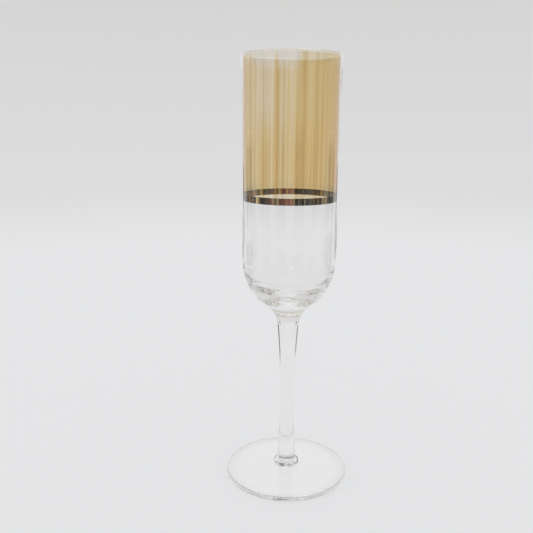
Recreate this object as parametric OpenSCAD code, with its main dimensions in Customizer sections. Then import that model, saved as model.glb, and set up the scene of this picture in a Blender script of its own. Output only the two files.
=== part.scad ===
// Champagne flute: a straight bowl with an amber lustre and a metallic band
// fired on its inner wall, a solid drawn stem, a button and a disc foot.
// The four glass pieces are fused end to end along the Z axis. Millimetres.
// The origin is the centre of the ring that the foot stands on.

/* [Overall] */
// Height from the table to the top of the rim
total_h = 240; // [232:1:260]

/* [Bowl] */
// Outer radius just under the rim
bowl_r = 26.8; // [26:0.1:29]
// How much narrower the outer wall is where the rounded bottom starts
bowl_taper = 0.6; // [0:0.1:0.8]
// Thickness of the wall at the rim
wall = 1.1; // [1.0:0.1:1.5]
// Height of the plane where the outer wall starts to round in
shoulder_z = 130.6; // [128:0.2:134]
// Width and height of the elliptical rounding of the outer bottom
outer_round = [20.8, 28.4]; // [20:0.2:24]
// Height at which the inner wall starts to thicken
inner_taper_z = 180; // [175:1:195]
// Height at which the inner wall starts to round in
inner_shoulder_z = 129; // [127:0.5:131]
// Inner radius at that height
inner_shoulder_r = 24.9; // [24.2:0.1:25.1]
// Height of the lowest point of the inside
floor_z = 107; // [105:0.5:110]

/* [Stem] */
// Height of the fused joint between the bowl and the stem
bowl_joint_z = 97; // [95:0.5:98]
// Radius of the concave sweep from the bowl into the stem
neck_sweep_r = 16.2; // [14:0.2:18]
// Angle of the underside of the bowl above the horizontal where the sweep meets it
neck_slope = 38.6; // [34:0.2:42]
// Radius of the stem where the sweep would turn vertical
neck_r = 6.04; // [5.6:0.02:6.4]
// Radius of the straight, narrowest stretch
stem_r = 4.3; // [3.8:0.1:4.8]
// Height range of that stretch
stem_straight = [33, 40]; // [30:1:45]
// How fast it widens above that stretch: 1 is a straight cone
neck_ease = 3; // [2:0.5:4]
// Radius just above the button
stem_base_r = 5.05; // [4.8:0.05:5.4]
// Height over which the straight stretch widens to it
stem_base_h = 18; // [12:1:24]
// Radius of the small fillet there
stem_fillet = 0.9; // [0.5:0.1:1.2]

/* [Button] */
// Outer radius of the button between the stem and the foot
button_r = 7.35; // [7:0.05:8]
// Height of its underside above the table, where the foot is fused on
button_z = 5.2; // [4.8:0.1:5.6]
// Thickness
button_h = 2.0; // [1.6:0.1:2.4]
// Rounding of its edges
button_round = 0.8; // [0.3:0.1:0.9]

/* [Foot] */
// Outer radius
foot_r = 35.4; // [33:0.1:38]
// Thickness at the edge
foot_edge_h = 2.9; // [2.2:0.1:3.2]
// Rounding of the upper and lower edges
foot_round = [1.0, 0.7]; // [0.5:0.1:1.1]
// How far the upper face sags between the button and the edge: 1 is a straight cone
foot_sag = 1.6; // [1:0.1:2]
// Inner radius of the flat ring that touches the table
foot_ring_r = 29; // [26:0.5:31]
// Height of the hollow under the centre
foot_hollow = 1.3; // [0.8:0.1:1.8]

/* [Decoration] */
// Height of the lower edge of the metallic band
band_z = 163.4; // [150:0.2:175]
// Height of the band
band_h = 3.6; // [2:0.1:6]
// Distance from the top of the rim to the upper edge of the lustre
lustre_gap = 1.0; // [0.8:0.1:3]
// Thickness of the lustre
lustre_t = 0.10; // [0.08:0.01:0.15]
// Thickness of the band
band_t = 0.16; // [0.12:0.01:0.2]

/* [Hidden] */
$fn = 128;
clear_glass = [0.86, 0.90, 0.90, 0.45];
amber = [0.80, 0.64, 0.32, 0.75];
gold_bronze = [0.52, 0.33, 0.16];

lip_r = wall / 2;
inner_r = bowl_r - wall;
shoulder_r = bowl_r - bowl_taper;
// The sweep's centre lies outside the stem, a sweep radius from its vertical tangent.
sweep_cr = neck_r + neck_sweep_r;
// The outer rounding ends where its slope has fallen to neck_slope.
round_end = atan2(outer_round[1] * cos(neck_slope), outer_round[0] * sin(neck_slope));
round_end_r = shoulder_r - outer_round[0] + outer_round[0] * cos(round_end);
round_end_z = shoulder_z - outer_round[1] * sin(round_end);
// The sweep starts on the straight cone below that point.
sweep_start_r = sweep_cr - neck_sweep_r * sin(neck_slope);
sweep_start_z = round_end_z - (round_end_r - sweep_start_r) * tan(neck_slope);
sweep_cz = sweep_start_z - neck_sweep_r * cos(neck_slope);
// Angle on the sweep at the fused joint, and the one where the stem's own taper takes over.
joint_angle = 180 - asin((bowl_joint_z - sweep_cz) / neck_sweep_r);
taper_angle = 174;
taper_top = [sweep_cr + neck_sweep_r * cos(taper_angle), sweep_cz + neck_sweep_r * sin(taper_angle)];
button_top = button_z + button_h;
// Radius of the large arc that thickens the inner wall from inner_taper_z down.
thicken_h = inner_taper_z - inner_shoulder_z;
thicken_w = inner_r - inner_shoulder_r;
thicken_r = (pow(thicken_h, 2) + pow(thicken_w, 2)) / (2 * thicken_w);

// Points of an elliptical arc about c, from angle a to angle b, both ends included.
function arc(c, r, a, b, n = 16) =
    [for (i = [0:n]) let (t = a + (b - a) * i / n) [c[0] + r[0] * cos(t), c[1] + r[1] * sin(t)]];
function round_arc(c, r, a, b, n = 8) = arc(c, [r, r], a, b, n);

// Radius of the inner wall at height z, on and above inner_shoulder_z.
function inner_wall_r(z) = z >= inner_taper_z ? inner_r
    : inner_r - thicken_r + sqrt(pow(thicken_r, 2) - pow(inner_taper_z - z, 2));

// Points of the inner wall from z0 up towards z1 in n steps, without the last one.
function wall_part(z0, z1, n) =
    [for (i = [0:n - 1]) let (z = z0 + (z1 - z0) * i / n) [inner_wall_r(z), z]];

function flipped(list) = [for (i = [len(list) - 1:-1:0]) list[i]];

// The stretches of the inner wall behind the band and behind the lustre above it.
band_top = band_z + band_h;
band_wall = wall_part(band_z, band_top, 1);
lustre_wall = concat(wall_part(band_top, inner_taper_z, 4), [[inner_r, inner_taper_z]]);

// Radius of the stem at height z between the button's fillet and the neck's sweep.
function ease(t) = let (u = min(1, max(0, t))) u * u * (3 - 2 * u);
function neck_share(z) = pow((z - stem_straight[1]) / (taper_top[1] - stem_straight[1]), neck_ease);
function stem_wall_r(z) = z > stem_straight[1]
    ? stem_r + (taper_top[0] - stem_r) * neck_share(z)
    : stem_r + (stem_base_r - stem_r) * ease((stem_straight[0] - z) / stem_base_h);

module bowl() {
    outer = concat(
        round_arc([sweep_cr, sweep_cz], neck_sweep_r, joint_angle, 90 + neck_slope, 10),
        arc([shoulder_r - outer_round[0], shoulder_z], outer_round, -round_end, 0, 24)
    );
    lip = round_arc([bowl_r - lip_r, total_h - lip_r], lip_r, 0, 180, 12);
    // The inner wall has its corners at the edges of the band, like the two coatings on it.
    wall_up = concat(wall_part(inner_shoulder_z, band_z, 6), band_wall, lustre_wall);
    bottom = arc([0, inner_shoulder_z], [inner_shoulder_r, inner_shoulder_z - floor_z], 0, -90, 28);
    color(clear_glass) rotate_extrude()
        polygon(concat([[0, bowl_joint_z]], outer, lip, flipped(wall_up), [for (i = [1:28]) bottom[i]]));
}

module stem() {
    fillet = round_arc([stem_base_r + stem_fillet, button_top + stem_fillet], stem_fillet, 270, 180, 6);
    side_z = button_top + stem_fillet;
    side_h = taper_top[1] - side_z;
    side = [for (i = [1:31]) let (z = side_z + side_h * i / 32) [stem_wall_r(z), z]];
    sweep = round_arc([sweep_cr, sweep_cz], neck_sweep_r, taper_angle, joint_angle, 6);
    color(clear_glass)
        rotate_extrude() polygon(concat([[0, button_top]], fillet, side, sweep, [[0, bowl_joint_z]]));
}

module foot_button() {
    c = button_r - button_round;
    low = round_arc([c, button_z + button_round], button_round, -90, 0, 6);
    high = round_arc([c, button_top - button_round], button_round, 0, 90, 6);
    color(clear_glass)
        rotate_extrude() polygon(concat([[0, button_z]], low, high, [[0, button_top]]));
}

module foot() {
    edge_r = foot_r - foot_round[0];
    land_r = button_r - button_round;
    rise = button_z - foot_edge_h;
    // The upper face dips from the button to the edge in a shallow curve.
    top = [for (i = [0:15]) let (t = i / 16)
        [land_r + (edge_r - land_r) * t, foot_edge_h + rise * pow(1 - t, foot_sag)]];
    edge = concat(
        round_arc([edge_r, foot_edge_h - foot_round[0]], foot_round[0], 90, 0, 8),
        round_arc([foot_r - foot_round[1], foot_round[1]], foot_round[1], 0, -90, 6)
    );
    under = [for (i = [0:12]) let (t = i / 12) [foot_ring_r * (1 - t), foot_hollow * ease(t)]];
    color(clear_glass)
        rotate_extrude() polygon(concat([[0, button_z]], top, edge, under));
}

// A thin sleeve of the given thickness that lies against the inner wall.
module sleeve(outline, thickness) {
    inside = [for (p = flipped(outline)) [p[0] - thickness, p[1]]];
    rotate_extrude() polygon(concat(outline, inside));
}

module amber_lustre() {
    color(amber) sleeve(concat(lustre_wall, [[inner_r, total_h - lustre_gap]]), lustre_t);
}

module metallic_band() {
    color(gold_bronze) sleeve(concat(band_wall, [lustre_wall[0]]), band_t);
}

bowl();
stem();
foot_button();
foot();
amber_lustre();
metallic_band();
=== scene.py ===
"""Champagne flute. The glass is turned from the outlines of the CAD solids, on a pale round studio cove."""

import math

import bpy
import numpy as np
from mathutils import Matrix, Vector


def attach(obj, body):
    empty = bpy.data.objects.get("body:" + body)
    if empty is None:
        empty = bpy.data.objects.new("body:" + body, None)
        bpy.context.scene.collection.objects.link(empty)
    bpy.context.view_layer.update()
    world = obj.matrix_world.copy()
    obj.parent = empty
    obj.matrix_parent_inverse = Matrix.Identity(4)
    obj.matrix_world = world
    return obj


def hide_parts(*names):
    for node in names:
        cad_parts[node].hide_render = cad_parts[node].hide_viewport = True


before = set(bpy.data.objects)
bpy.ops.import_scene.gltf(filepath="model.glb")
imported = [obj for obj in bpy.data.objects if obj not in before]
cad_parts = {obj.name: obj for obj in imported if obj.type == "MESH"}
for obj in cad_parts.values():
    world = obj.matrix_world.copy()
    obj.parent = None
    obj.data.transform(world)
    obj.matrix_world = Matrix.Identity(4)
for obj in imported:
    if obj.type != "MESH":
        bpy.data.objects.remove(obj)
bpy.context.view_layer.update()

MM = 0.001
BODY = "root"

# The photograph's viewpoint, in metres and degrees.
CAMERA_AT = (0.0, -0.3591, 0.2075)
CAMERA_DOWN = 12.859
CAMERA_LEFT = 2.01
CAMERA_ROLL = 0.374
CAMERA_LENS = 44.16  # mm, on a 36 mm wide sensor

# How finely the outlines are turned.
SEGMENTS = 192
CORNER = math.radians(30)  # a sharper turn than this is a real edge
MOST_TURN = math.radians(1.6)  # between two points of a curve
MOST_STEP = 2.5 * MM
AXIS_R = 1e-7  # closer to the axis than this is on it
STRAIGHT = 0.004  # a smaller turn than this, in radians, is none
LONGER = 3  # a stretch this much longer than the next is a straight one that meets a curve
FILM_GAP = 0.02 * MM  # between the glass and the coating, so that their faces never coincide

GLASS_IOR = 1.5


# ---------------------------------------------------------------- outlines

def cad_outline(node):
    """The outline of a CAD solid in (r, z), in order, read where its mesh crosses the XZ half-plane."""
    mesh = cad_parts[node].data
    on = {
        v.index: (round(v.co.x, 6), round(v.co.z, 6))
        for v in mesh.vertices
        if abs(v.co.y) < AXIS_R and v.co.x > -AXIS_R
    }
    links = {}
    for edge in mesh.edges:
        a, b = (on.get(i) for i in edge.vertices)
        if a and b and a != b:
            links.setdefault(a, []).append(b)
            links.setdefault(b, []).append(a)
    ends = [p for p, others in links.items() if len(set(others)) == 1]
    path = [min(ends or links, key=lambda p: (p[1], p[0]))]
    while True:
        onward = [p for p in links[path[-1]] if p not in path]
        if not onward:
            break
        path.append(onward[0])
    points = [np.array(p) for p in path]
    if not ends:  # a sleeve's outline is a loop
        points.append(points[0])
    return without_collinear(points)


def without_collinear(points):
    """The same outline without the points that lie on a straight stretch."""
    kept = [points[0]]
    for here, after in zip(points[1:], points[2:]):
        a, b = here - kept[-1], after - here
        turn = abs(a[0] * b[1] - a[1] * b[0]) / (np.linalg.norm(a) * np.linalg.norm(b))
        if turn > STRAIGHT:
            kept.append(here)
    return kept + [points[-1]]


def runs(points):
    """The outline cut at its corners, as a list of lists of points."""
    cut, run = [], [points[0]]
    for before, here, after in zip(points, points[1:], points[2:]):
        a, b = here - before, after - here
        turn = abs(math.atan2(a[0] * b[1] - a[1] * b[0], a @ b))
        run.append(here)
        if turn > CORNER:
            cut.append(run)
            run = [here]
    return cut + [run + [points[-1]]]


def smooth(run):
    """A curve through the points of one run, straight where the run is long and straight."""
    if len(run) == 2:
        return np.array(run)
    chords = np.diff(run, axis=0)
    lengths = np.linalg.norm(chords, axis=1)
    slopes = chords / lengths[:, None]
    tangents = [slopes[0]]
    for i in range(1, len(run) - 1):
        before, after = lengths[i - 1], lengths[i]
        if max(before, after) > LONGER * min(before, after):
            tangents.append(slopes[i - 1] if before > after else slopes[i])
        else:
            mean = slopes[i - 1] * after + slopes[i] * before
            tangents.append(mean / np.linalg.norm(mean))
    tangents.append(slopes[-1])
    # The end tangents of an arc lean on by as much again as its first chord does.
    for end, inner, chord in ((0, 1, 0), (-1, -2, -1)):
        if lengths[chord] < MOST_STEP:
            lean = 2 * slopes[chord] - tangents[inner]
            tangents[end] = lean / np.linalg.norm(lean)
    out = [run[0]]
    for i, length in enumerate(lengths):
        turn = math.acos(max(-1, min(1, float(tangents[i] @ tangents[i + 1]))))
        steps = max(1, math.ceil(turn / MOST_TURN), math.ceil(length / MOST_STEP))
        for k in range(1, steps + 1):
            t = k / steps
            out.append(
                run[i] * (2 * t**3 - 3 * t**2 + 1)
                + run[i + 1] * (3 * t**2 - 2 * t**3)
                + tangents[i] * length * (t**3 - 2 * t**2 + t)
                + tangents[i + 1] * length * (t**3 - t**2)
            )
    low, high = np.min(run, axis=0), np.max(run, axis=0)
    return np.clip(out, low, high)


# ---------------------------------------------------------------- turned meshes

def add_object(name, data):
    made = bpy.data.objects.new(name, data)
    bpy.context.scene.collection.objects.link(made)
    return made


def turned(name, curves, materials, slots, ripple=None):
    """A closed mesh turned from curves in (r, z) that follow each other, with a slot number for each curve.

    ripple(r, z, azimuth, inside) gives how far a point moves outwards. inside is true past the rim.
    """
    outline = np.vstack([curves[0]] + [c[1:] for c in curves[1:]])
    lasts = np.cumsum([len(c) - 1 for c in curves])
    if np.allclose(outline[0], outline[-1]):
        outline = outline[:-1]
    r, z = outline[:, :1], outline[:, 1:]
    azimuth = np.linspace(0, 2 * math.pi, SEGMENTS, endpoint=False)[None, :]
    out = r + 0 * azimuth
    if ripple:
        inside = (np.arange(len(outline)) > outline[:, 1].argmax())[:, None]
        out = out + ripple(r, z, azimuth, inside) * (r > 0)
    grid = np.stack([out * np.cos(azimuth), out * np.sin(azimuth), z + 0 * azimuth], axis=-1)
    # A point on the axis is one vertex, and any other is a ring of them.
    pole = r[:, 0] < AXIS_R
    starts = np.concatenate([[0], np.cumsum(np.where(pole, 1, SEGMENTS))])
    verts = np.vstack([grid[i, :1] if pole[i] else grid[i] for i in range(len(outline))])
    here = np.arange(SEGMENTS)
    after = (here + 1) % SEGMENTS
    faces, slot_of, patch_of = [], [], []
    patch = 0
    for i in range(lasts[-1]):
        if i >= lasts[patch]:
            patch += 1
        j = (i + 1) % len(outline)
        a, b = starts[i], starts[j]
        if pole[i]:
            ring = zip([a] * SEGMENTS, b + after, b + here)
        elif pole[j]:
            ring = zip(a + here, a + after, [b] * SEGMENTS)
        else:
            ring = zip(a + here, a + after, b + after, b + here)
        faces += [tuple(map(int, face)) for face in ring]
        slot_of += [slots[patch]] * SEGMENTS
        patch_of += [patch] * SEGMENTS
    mesh = bpy.data.meshes.new(name)
    mesh.from_pydata(verts.tolist(), [], faces)
    for material in materials:
        mesh.materials.append(material)
    mesh.polygons.foreach_set("material_index", slot_of)
    mesh.polygons.foreach_set("use_smooth", [True] * len(faces))
    smooth_each_patch(mesh, np.array(patch_of))
    return add_object(name, mesh)


def smooth_each_patch(mesh, patch_of):
    """Smooth normals inside each curve's own surface, and a sharp edge between two of them."""
    faces, loops, verts = len(mesh.polygons), len(mesh.loops), len(mesh.vertices)
    normals, areas, sizes = np.zeros(3 * faces), np.zeros(faces), np.zeros(faces, int)
    vertex_of = np.zeros(loops, int)
    mesh.polygons.foreach_get("normal", normals)
    mesh.polygons.foreach_get("area", areas)
    mesh.polygons.foreach_get("loop_total", sizes)
    mesh.loops.foreach_get("vertex_index", vertex_of)
    weighted = np.repeat(normals.reshape(-1, 3) * areas[:, None], sizes, axis=0)
    key = np.repeat(patch_of, sizes) * verts + vertex_of
    sums = np.zeros(((patch_of.max() + 1) * verts, 3))
    np.add.at(sums, key, weighted)
    own = sums[key]
    mesh.normals_split_custom_set((own / np.linalg.norm(own, axis=1, keepdims=True)).tolist())


# ---------------------------------------------------------------- materials

class Nodes:
    """A new node material, filled by make(kind, settings, socket=value or node output).

    i0= and the like name a socket by its number, and an underscore in any other name is a space.
    """

    def __init__(self, name):
        self.material = bpy.data.materials.new(name)
        self.material.use_nodes = True
        self.tree = self.material.node_tree
        self.tree.nodes.clear()

    def make(self, kind, _settings=None, **inputs):
        node = self.tree.nodes.new(kind)
        for key, value in (_settings or {}).items():
            setattr(node, key, value)
        for key, value in inputs.items():
            self.plug(node, key.replace("_", " "), value)
        return node

    def plug(self, node, key, value):
        socket = node.inputs[int(key[1:])] if key[0] == "i" and key[1:].isdigit() else node.inputs[key]
        if isinstance(value, bpy.types.NodeSocket):
            self.tree.links.new(value, socket)
        else:
            socket.default_value = value

    def math(self, operation, a, b=0.0):
        return self.make("ShaderNodeMath", {"operation": operation}, i0=a, i1=b).outputs[0]

    def share(self, value, low, high):
        """How far value is on its way from low to high, between 0 and 1."""
        return self.make("ShaderNodeMapRange", Value=value, From_Min=low, From_Max=high).outputs[0]

    def own(self):
        """A point's place in its piece's own metres."""
        return self.make("ShaderNodeTexCoord").outputs["Object"]

    def xyz(self, place):
        return self.make("ShaderNodeSeparateXYZ", Vector=place).outputs

    def ramp(self, fac, stops):
        node = self.make("ShaderNodeValToRGB", Fac=fac)
        ramp = node.color_ramp
        while len(ramp.elements) < len(stops):
            ramp.elements.new(0.5)
        for element, (place, colour) in zip(ramp.elements, stops):
            element.position = place
            element.color = (*colour, 1.0)
        return node.outputs["Color"]

    def mix(self, fac, a, b):
        return self.make("ShaderNodeMix", {"data_type": "RGBA"}, i0=fac, i6=a, i7=b).outputs[2]

    def output(self, surface):
        self.make("ShaderNodeOutputMaterial", Surface=surface)
        return self.material


def upright_streaks(n, across, along, detail=2.0, seed=0.0, mirrored=False):
    """Noise that is drawn out along Z. across and along are its scales per metre.

    Mirrored noise is the same on the front and on the back.
    """
    place = n.own()
    if mirrored:
        own = n.xyz(place)
        folded = n.math("ABSOLUTE", own["Y"])
        place = n.make("ShaderNodeCombineXYZ", X=own["X"], Y=folded, Z=own["Z"]).outputs[0]
    placed = n.make("ShaderNodeMapping", Vector=place, Scale=(across, across, along), Location=(seed, 0, 0))
    noise = n.make("ShaderNodeTexNoise", Vector=placed.outputs[0], Scale=1.0, Detail=detail, Roughness=0.55)
    return noise.outputs["Fac"]


def clear_glass():
    n = Nodes("clear_glass")
    drawn = upright_streaks(n, 160, 22, seed=3.0)
    bump = n.make("ShaderNodeBump", Height=drawn, Strength=0.03, Distance=0.0004)
    shader = n.make(
        "ShaderNodeBsdfPrincipled",
        Base_Color=(0.975, 0.975, 0.972, 1),
        Roughness=0.0,
        IOR=GLASS_IOR,
        Transmission_Weight=1.0,
        Normal=bump.outputs[0],
    )
    return n.output(shader.outputs[0])


def fused_joint():
    """Where two pieces of glass are fused there is no surface, so nothing is seen."""
    n = Nodes("fused_joint")
    return n.output(n.make("ShaderNodeBsdfTransparent").outputs[0])


def mirrored_azimuth(n):
    """0 at -X, 0.5 in the middle of the front and of the back, and 1 at +X."""
    own = n.xyz(n.own())
    turn = n.math("ARCTAN2", own["X"], n.math("ABSOLUTE", own["Y"]))
    return n.share(turn, -math.pi / 2, math.pi / 2)


# How much light one face of the lustre lets through, from its brownest to its palest streaks.
AMBER = [
    (0.0, (0.94, 0.85, 0.68)), (0.28, (0.975, 0.905, 0.73)), (0.5, (0.976, 0.918, 0.785)),
    (0.8, (0.99, 0.955, 0.885)), (1.0, (0.998, 0.972, 0.925)),
]

# The broad streaks of the lustre: degrees from the middle of the front, and how pale it is there.
LUSTRE_STREAKS = [
    (-90, 0.45), (-74, 0.5), (-70, 0.8), (-56, 0.8), (-54.5, 0.1), (-52, 0.15), (-50, 0.85), (-38, 0.85),
    (-36, 0.68), (-29, 0.65), (-26, 0.95), (-20.5, 0.95), (-18.9, 0.02), (-15.2, 0.02), (-13.6, 0.95),
    (-10.2, 0.85), (-9, 0.45), (-8, 0.45), (-5.5, 0.7), (-3.5, 0.5), (2, 0.5), (4, 0.75), (6, 0.5),
    (10.5, 0.45), (13, 0.0), (18, 0.0), (19.8, 0.4), (22, 0.28), (41, 0.28), (43, 0.08), (46, 0.08),
    (48, 0.3),
]

# How much deeper it is low down, and at the sides all the way up, in the same way. The deeper sides are
# painted shade: the darker silhouettes as seen from the front, fixed at -X and +X.
LUSTRE_LOW = [
    (-90, 0.1), (-44, 0.1), (-38, 0.45), (-34, 0.55), (-26, 0.5), (-20, 0.25), (-14, 0.15), (-9, 0.35),
    (-4, 0.12), (2, 0.16), (8, 0.3), (14, 0.3), (20, 0.2), (30, 0.25), (36, 0.1), (50, 0.0), (90, 0.1),
]
DEEPER_Z = 214 * MM, 190 * MM
# Painted shade: the lustre is deeper towards -X and +X, where the silhouettes look darker from the front.
LUSTRE_SIDE_SHADE = [(-90, 0.9), (-72, 0.1), (-60, 0.0), (60, 0.0), (70, 0.25), (90, 0.9)]

# How far the lustre is thinned out at the rim, in the same way.
LUSTRE_THINNED = [(-90, 0.2), (-45, 0.35), (-30, 0.9), (-5, 0.9), (4, 0.4), (14, 0.05), (90, 0.05)]
THINNED_Z = 235.0 * MM, 239.5 * MM


def around(shares):
    return [((azimuth + 90) / 180, (share,) * 3) for azimuth, share in shares]


def amber_lustre():
    n = Nodes("amber_lustre")
    round_front = mirrored_azimuth(n)
    broad = n.ramp(round_front, around(LUSTRE_STREAKS))
    fine = upright_streaks(n, 800, 6, detail=2.0, seed=7.0, mirrored=True)
    fine = n.share(fine, 0.42, 0.58)
    pale = n.make("ShaderNodeMix", {"data_type": "FLOAT"}, i0=0.30, i2=broad, i3=fine).outputs[0]
    # The streaks are stronger on the front half.
    own = n.xyz(n.own())
    contrast = n.make(
        "ShaderNodeMapRange", Value=own["Y"], From_Min=-5 * MM, From_Max=5 * MM, To_Min=1.5, To_Max=0.75
    ).outputs[0]
    pale = n.math("MULTIPLY", n.math("SUBTRACT", pale, 0.5), contrast)
    pale = n.math("ADD", pale, 0.5)
    # The lustre thins out towards the rim, along an uneven line.
    uneven = upright_streaks(n, 120, 60, detail=1.0, seed=2.0)
    height = n.make("ShaderNodeMath", {"operation": "MULTIPLY_ADD"}, i0=uneven, i1=4 * MM, i2=own["Z"])
    thin = n.share(height.outputs[0], *THINNED_Z)
    thinnest = n.ramp(round_front, around(LUSTRE_THINNED))
    thin = n.math("MULTIPLY", thin, thinnest)
    # It is deeper low down, and painted shade makes it deeper at its sides.
    low = n.share(own["Z"], *DEEPER_Z)
    low = n.math("MULTIPLY", low, n.ramp(round_front, around(LUSTRE_LOW)))
    depth_and_side_shade = n.math("ADD", low, n.ramp(round_front, around(LUSTRE_SIDE_SHADE)))
    pale = n.math("SUBTRACT", pale, depth_and_side_shade)
    pale = n.make("ShaderNodeMath", {"operation": "ADD", "use_clamp": True}, i0=thin, i1=pale)
    tint = n.ramp(pale.outputs[0], AMBER)
    seen_through = n.make("ShaderNodeBsdfTransparent", Color=tint)
    sheen = n.make("ShaderNodeBsdfGlossy", Color=(0.95, 0.80, 0.52, 1), Roughness=0.06)
    facing = n.make("ShaderNodeLayerWeight", Blend=0.25)
    shine = n.make("ShaderNodeMapRange", Value=facing.outputs["Fresnel"], To_Min=0.015, To_Max=0.22)
    surface = n.make("ShaderNodeMixShader", Fac=shine.outputs[0])
    n.plug(surface, "i1", seen_through.outputs[0])
    n.plug(surface, "i2", sheen.outputs[0])
    return n.output(surface.outputs[0])


BLACK = (0.014, 0.019, 0.019)
UMBER = (0.12, 0.038, 0.018)
OLIVE = (0.11, 0.075, 0.033)
COPPER = (0.37, 0.125, 0.065)
TAN = (0.56, 0.35, 0.16)
GOLD = (1.0, 0.82, 0.42)

# The painted reflections of the band: dark, copper and gold stripes of what it mirrors, in degrees from the
# middle of the front.
BAND_REFLECTIONS = [
    (-90, UMBER), (-62, UMBER), (-58, BLACK), (-55, TAN), (-51.5, TAN), (-49.5, BLACK), (-44, OLIVE),
    (-40.5, GOLD), (-38, TAN), (-36.5, BLACK), (-34, BLACK), (-32, OLIVE), (-28, BLACK), (-25, UMBER),
    (-20, UMBER), (-18.5, TAN), (-17, BLACK), (-14, GOLD), (-12, COPPER), (3, COPPER), (5, TAN),
    (6.5, BLACK), (9, OLIVE), (12, BLACK), (24, BLACK), (27, OLIVE), (42, OLIVE), (48, TAN), (50, BLACK),
    (60, BLACK), (64, OLIVE),
]


def metallic_band():
    n = Nodes("metallic_band")
    # Painted reflection: the band's colour is dark, copper and gold stripes round it and fine upright
    # lines, standing in for what the metal mirrors.
    tones = n.ramp(mirrored_azimuth(n), [((a + 90) / 180, tone) for a, tone in BAND_REFLECTIONS])
    fine = upright_streaks(n, 1300, 4, detail=1.0, seed=11.0)
    reflection_lines = n.ramp(fine, [(0.42, BLACK), (0.52, UMBER), (0.57, TAN), (0.62, GOLD)])
    colour = n.mix(0.32, tones, reflection_lines)
    shader = n.make("ShaderNodeBsdfPrincipled", Base_Color=colour, Metallic=1.0, Roughness=0.16)
    return n.output(shader.outputs[0])


def shaded_button_side():
    """The button's side is painted shade: dark grey glass in uneven stretches, for the dark it shows
    through the whole foot.
    """
    n = Nodes("shaded_button_side")
    stretches = upright_streaks(n, 330, 40, detail=2.0, seed=5.0)
    tint = n.ramp(stretches, [
        (0.42, (0.16, 0.165, 0.17)), (0.52, (0.5, 0.5, 0.51)), (0.60, (0.95, 0.95, 0.95)),
    ])
    shader = n.make(
        "ShaderNodeBsdfPrincipled", Base_Color=tint, Roughness=0.0, IOR=GLASS_IOR, Transmission_Weight=1.0
    )
    return n.output(shader.outputs[0])


# ---------------------------------------------------------------- the flute

# Waves round the glass: how many, phase, change of phase per metre of height, share.
WAVES = [
    (2, 0.4, 31, 0.30), (3, 2.1, -55, 0.36), (5, 4.0, 90, 0.24), (8, 1.3, -160, 0.18),
    (13, 5.2, 240, 0.07), (1, 0.3, 1500, 0.22), (2, 1.9, -2300, 0.12),
]
WALL_RIPPLE = 0.02 * MM
THICK_INSIDE, THICK_OUTSIDE = 0.30 * MM, 0.12 * MM  # at the bowl's thick bottom
THIN_Z = 112 * MM, 136 * MM  # where the thick bottom gives way to the wall
JOINT_Z = 97 * MM, 104 * MM  # where the outside's ripple grows from nothing, above the joint
RIM_Z = 232 * MM, 238 * MM  # where the wall's ripple dies away


def rising(x, low, high):
    t = np.clip((x - low) / (high - low), 0, 1)
    return t * t * (3 - 2 * t)


def hand_made(r, z, azimuth, inside):
    """The slight unevenness of blown glass. It fades out at the rim and at the joint."""
    inside = np.asarray(inside, dtype=bool)
    side = np.where(inside, 0.0, 2.6)
    wave = sum(share * np.cos(n * azimuth + at + side * n + turn * z) for n, at, turn, share in WAVES)
    low = 1 - rising(z, *THIN_Z)
    low = low * np.where(inside, r / (r + 4 * MM), rising(z, *JOINT_Z))
    size = np.where(inside, WALL_RIPPLE, 0.3 * WALL_RIPPLE) * (1 - rising(z, *RIM_Z))
    size = size * (1 - low) + np.where(inside, THICK_INSIDE, THICK_OUTSIDE) * low
    return size * wave


def build_flute():
    glass, joint = clear_glass(), fused_joint()
    bowl, stem, button, foot = (cad_outline(n) for n in ("bowl", "stem", "foot_button", "foot"))

    def cap(edge):
        """The flat joint from an edge to the axis."""
        return np.array((edge, (0.0, edge[1])))

    def piece(name, node, outlines, slots, materials, ripple=None):
        made = turned(name, outlines, materials, slots, ripple)
        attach(made, BODY)
        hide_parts(node)

    solids = (
        ("flute_bowl", "bowl", [cap(bowl[0])[::-1]], bowl, []),
        ("flute_stem", "stem", [cap(stem[0])[::-1]], stem, [cap(stem[-1])]),
        ("flute_button", "foot_button", [cap(button[0])[::-1]], button,
         [np.array((button[-1], stem[0])), cap(stem[0])]),
        ("flute_foot", "foot", [], foot, [cap(foot[-1])]),
    )
    clear, fused, darker = 0, 1, 2
    for name, node, before, outline, after in solids:
        curves = [smooth(run) for run in runs(outline)]
        sides = [clear] * len(curves)
        ends = [fused] * len(after)
        materials = [glass, joint]
        if node == "foot_button":
            ends[0] = clear  # the ring of its top that shows round the stem
            # The button's side is glass with painted shade in its colour.
            sides = [darker] * len(curves)
            materials.append(shaded_button_side())
        slots = [fused] * len(before) + sides + ends
        ripple = hand_made if node == "bowl" else None
        piece(name, node, before + curves + after, slots, materials, ripple)

    def on_the_wall(r, z, azimuth, _):
        return hand_made(r, z, azimuth, True)

    for name, node, material in (
        ("flute_lustre", "amber_lustre", amber_lustre()),
        ("flute_band", "metallic_band", metallic_band()),
    ):
        outline = cad_outline(node)
        middle = {}
        for r, z in outline:
            middle.setdefault(round(z, 6), []).append(r)
        inset = [np.array((r - FILM_GAP if r > np.mean(middle[round(z, 6)]) else r, z)) for r, z in outline]
        curves = [smooth(run) for run in runs(inset)]
        piece(name, node, curves, [0] * len(curves), [material], on_the_wall)


build_flute()


# ---------------------------------------------------------------- stage

FLOOR_R = 0.70
COVE_R = 0.35
WALL_TOP = 1.3
STAGE_Z = -0.02 * MM  # the floor lies this far under the foot
PALE = 0.80  # about as bright as the cove
BRIGHT = 0.88
CARD_GRID = 48, 16


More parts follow.
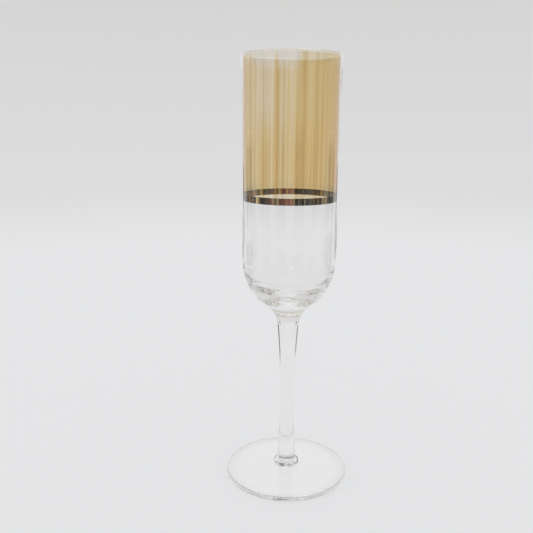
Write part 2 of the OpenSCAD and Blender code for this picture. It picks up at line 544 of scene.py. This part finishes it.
def cove():
    """A round floor that curves up into a wall. It glows a little by itself, so that it is evenly pale."""
    bend = [
        (FLOOR_R + COVE_R * math.sin(a), COVE_R * (1 - math.cos(a)))
        for a in (math.radians(6 * i) for i in range(16))
    ]
    outline = [(0.0, 0.0), (0.2, 0.0)] + bend + [(FLOOR_R + COVE_R, WALL_TOP)]
    n = Nodes("pale_cove")
    height = n.share(n.xyz(n.own())["Z"], 0.0, WALL_TOP)
    glow = n.ramp(height, [
        (0.0, (0.535, 0.54, 0.55)), (0.05, (0.468, 0.468, 0.473)), (0.33, (0.40, 0.395, 0.39)),
        (0.55, (0.28, 0.28, 0.28)), (1.0, (0.16, 0.16, 0.16)),
    ])
    shader = n.make(
        "ShaderNodeBsdfPrincipled",
        Base_Color=(0.40, 0.40, 0.40, 1),
        Roughness=0.95,
        Specular_IOR_Level=0.0,
        Emission_Color=glow,
        Emission_Strength=1.0,
    )
    floor = turned("stage_cove", [np.array(outline)], [n.output(shader.outputs[0])], [0])
    floor.location.z = STAGE_Z


def card(name, azimuths, near, far, level, rays, tone=(1, 1, 1)):
    """A glowing sheet round the glass that only some rays see.

    azimuths are in degrees from +Y towards +X, and near and far are (r, z) of its edges.
    level(across, along) is how bright it is, with across and along going from 0 to 1.
    """
    wide, tall = CARD_GRID
    verts, tones = [], []
    for j in range(tall + 1):
        along = j / tall
        for i in range(wide + 1):
            across = i / wide
            a = math.radians(azimuths[0] + (azimuths[1] - azimuths[0]) * across)
            r, z = (p + (q - p) * along for p, q in zip(near, far))
            verts.append((r * math.sin(a), r * math.cos(a), z))
            tones.append([level(across, along) * t for t in tone] + [1.0])
    row = wide + 1
    faces = [
        (j * row + i, j * row + i + 1, (j + 1) * row + i + 1, (j + 1) * row + i)
        for j in range(tall) for i in range(wide)
    ]
    mesh = bpy.data.meshes.new(name)
    mesh.from_pydata(verts, [], faces)
    mesh.color_attributes.new("tone", "FLOAT_COLOR", "POINT").data.foreach_set("color", np.ravel(tones))
    n = Nodes(name)
    tone_at = n.make("ShaderNodeVertexColor", {"layer_name": "tone"})
    mesh.materials.append(n.output(n.make("ShaderNodeEmission", Color=tone_at.outputs[0]).outputs[0]))
    made = add_object(name, mesh)
    for kind in ("camera", "diffuse", "glossy", "transmission", "shadow"):
        setattr(made, "visible_" + kind, kind in rays)


def soft_light(name, place, target, size, watts):
    lamp = bpy.data.lights.new(name, "AREA")
    lamp.shape = "RECTANGLE"
    lamp.size, lamp.size_y = size
    lamp.energy = watts
    made = add_object(name, lamp)
    made.location = place
    made.rotation_euler = (Vector(target) - Vector(place)).to_track_quat("-Z", "Y").to_euler()


def wide_middle(across):
    return 1 - rising(abs(across - 0.5), 0.39, 0.5)


def room(across, along):
    """Dim, and as bright as the cove at its sides and at the top."""
    return PALE - 0.66 * wide_middle(across) * (1 - rising(along, 0.5, 1.0))


def low_room(across, along):
    """The same, with its bright edge at the bottom."""
    return PALE - 0.66 * wide_middle(across) * rising(along, 0.0, 0.4)


def furniture(dark, seed, fade_in=0.0, fade_out=0.0):
    """Dark and pale upright things of uneven width, fading out at their ends."""
    def level(across, along):
        stripes = 0.5 + 0.5 * math.sin(9 * across + seed + 1.7 * math.sin(20.7 * across))
        ends = rising(min(across, 1 - across), 0.0, 0.2)
        if fade_in:
            ends *= rising(along, 0.0, fade_in)
        if fade_out:
            ends *= 1 - rising(along, 1 - fade_out, 1.0)
        return PALE - (PALE - dark) * (0.35 + 0.65 * stripes) * ends
    return level


def floor_dark(across, along):
    """Black, and paler at its four edges."""
    inner, outer = rising(along, 0.0, 0.15), 1 - rising(along, 0.85, 1.0)
    return PALE - PALE * inner * outer * rising(min(across, 1 - across), 0.0, 0.08)


def edge_dark(across, along):
    """Dark grey, and paler at its sides and close to the glass."""
    return PALE - 0.65 * rising(min(across, 1 - across), 0.0, 0.4) * rising(along, 0.0, 0.3)


def glow(across, along):
    return 0.832 - 0.06 * rising(along, 0.80, 1.0)


def evenly(level):
    return lambda across, along: level


cove()

# Rays that leave the glass see the THROUGH cards, and rays that its surface turns back see the OFF cards.
# Nothing dark stands straight behind the glass as seen from the front, the sides, the back or between them.
THROUGH, OFF = ("transmission",), ("glossy",)
LOW, BEND = (0.72, 0.002), (1.0, 0.19)  # in front of the cove's bend
card("stage_room", (40, 320), BEND, (1.0, 1.2), room, OFF)
card("stage_low_room", (40, 320), LOW, BEND, low_room, OFF)
card("stage_sky", (-90, 90), (1.0, 0.30), (1.0, 1.20), evenly(BRIGHT), OFF)
card("stage_window", (8, 52), (0.75, 1.05), (0.45, 1.25), evenly(7.0), OFF)
for k, (azimuth, dark) in enumerate(((112.5, 0.15), (157.5, 0.15), (202.5, 0.15), (247.5, 0.25))):
    ends = azimuth - 14.5, azimuth + 14.5
    card(f"stage_low_{k}", ends, LOW, BEND, furniture(dark, 0.4 + k, fade_in=0.2), THROUGH)
    card(f"stage_room_{k}", ends, BEND, (1.0, 0.90), furniture(dark, 0.4 + k, fade_out=0.2), THROUGH)
card("stage_left", (-82, -53), LOW, BEND, furniture(0.20, 1.9, 0.2, 0.3), THROUGH, (1.0, 0.95, 0.87))
card("stage_right", (53, 82), LOW, BEND, furniture(0.20, 0.7, 0.2, 0.3), THROUGH)
# These give the stem its dark edges.
card("stage_floor_right", (49, 83), (0.18, 0.001), (0.72, 0.005), floor_dark, THROUGH)
card("stage_floor_left", (-83, -51), (0.22, 0.001), (0.62, 0.005), floor_dark, THROUGH)
# These give the foot its edge.
card("stage_edge_right", (30, 41), (0.45, 0.001), (0.95, 0.12), edge_dark, THROUGH + OFF)
card("stage_edge_left", (-41, -30), (0.45, 0.001), (0.95, 0.12), edge_dark, THROUGH + OFF)
# Under the foot, which without it would be darker than the floor round it.
z = STAGE_Z / 2
card("stage_glow", (0, 360), (0.0, z), (34.5 * MM, z), glow, THROUGH, (0.995, 1.0, 1.012))
soft_light("overhead", (0.0, 0.1, 1.25), (0, 0, 0), (1.3, 1.3), 2.0)

world = bpy.data.worlds.new("studio_air")
world.use_nodes = True
world.node_tree.nodes["Background"].inputs["Color"].default_value = (0.8, 0.8, 0.8, 1)
world.node_tree.nodes["Background"].inputs["Strength"].default_value = 0.6
scene = bpy.context.scene
scene.world = world

# ---------------------------------------------------------------- camera

lens = bpy.data.cameras.new("photo_camera")
lens.sensor_width = 36.0
lens.lens = CAMERA_LENS
lens.clip_start = 0.01
lens.clip_end = 20.0
camera = add_object("photo_camera", lens)
aim = (
    Matrix.Rotation(math.radians(CAMERA_LEFT), 4, "Z")
    @ Matrix.Rotation(math.radians(90 - CAMERA_DOWN), 4, "X")
    @ Matrix.Rotation(math.radians(CAMERA_ROLL), 4, "Z")
)
camera.matrix_world = Matrix.Translation(CAMERA_AT) @ aim
scene.camera = camera

scene.view_settings.view_transform = "Standard"
for limit in ("max_bounces", "transmission_bounces", "glossy_bounces", "transparent_max_bounces"):
    setattr(scene.cycles, limit, 64)
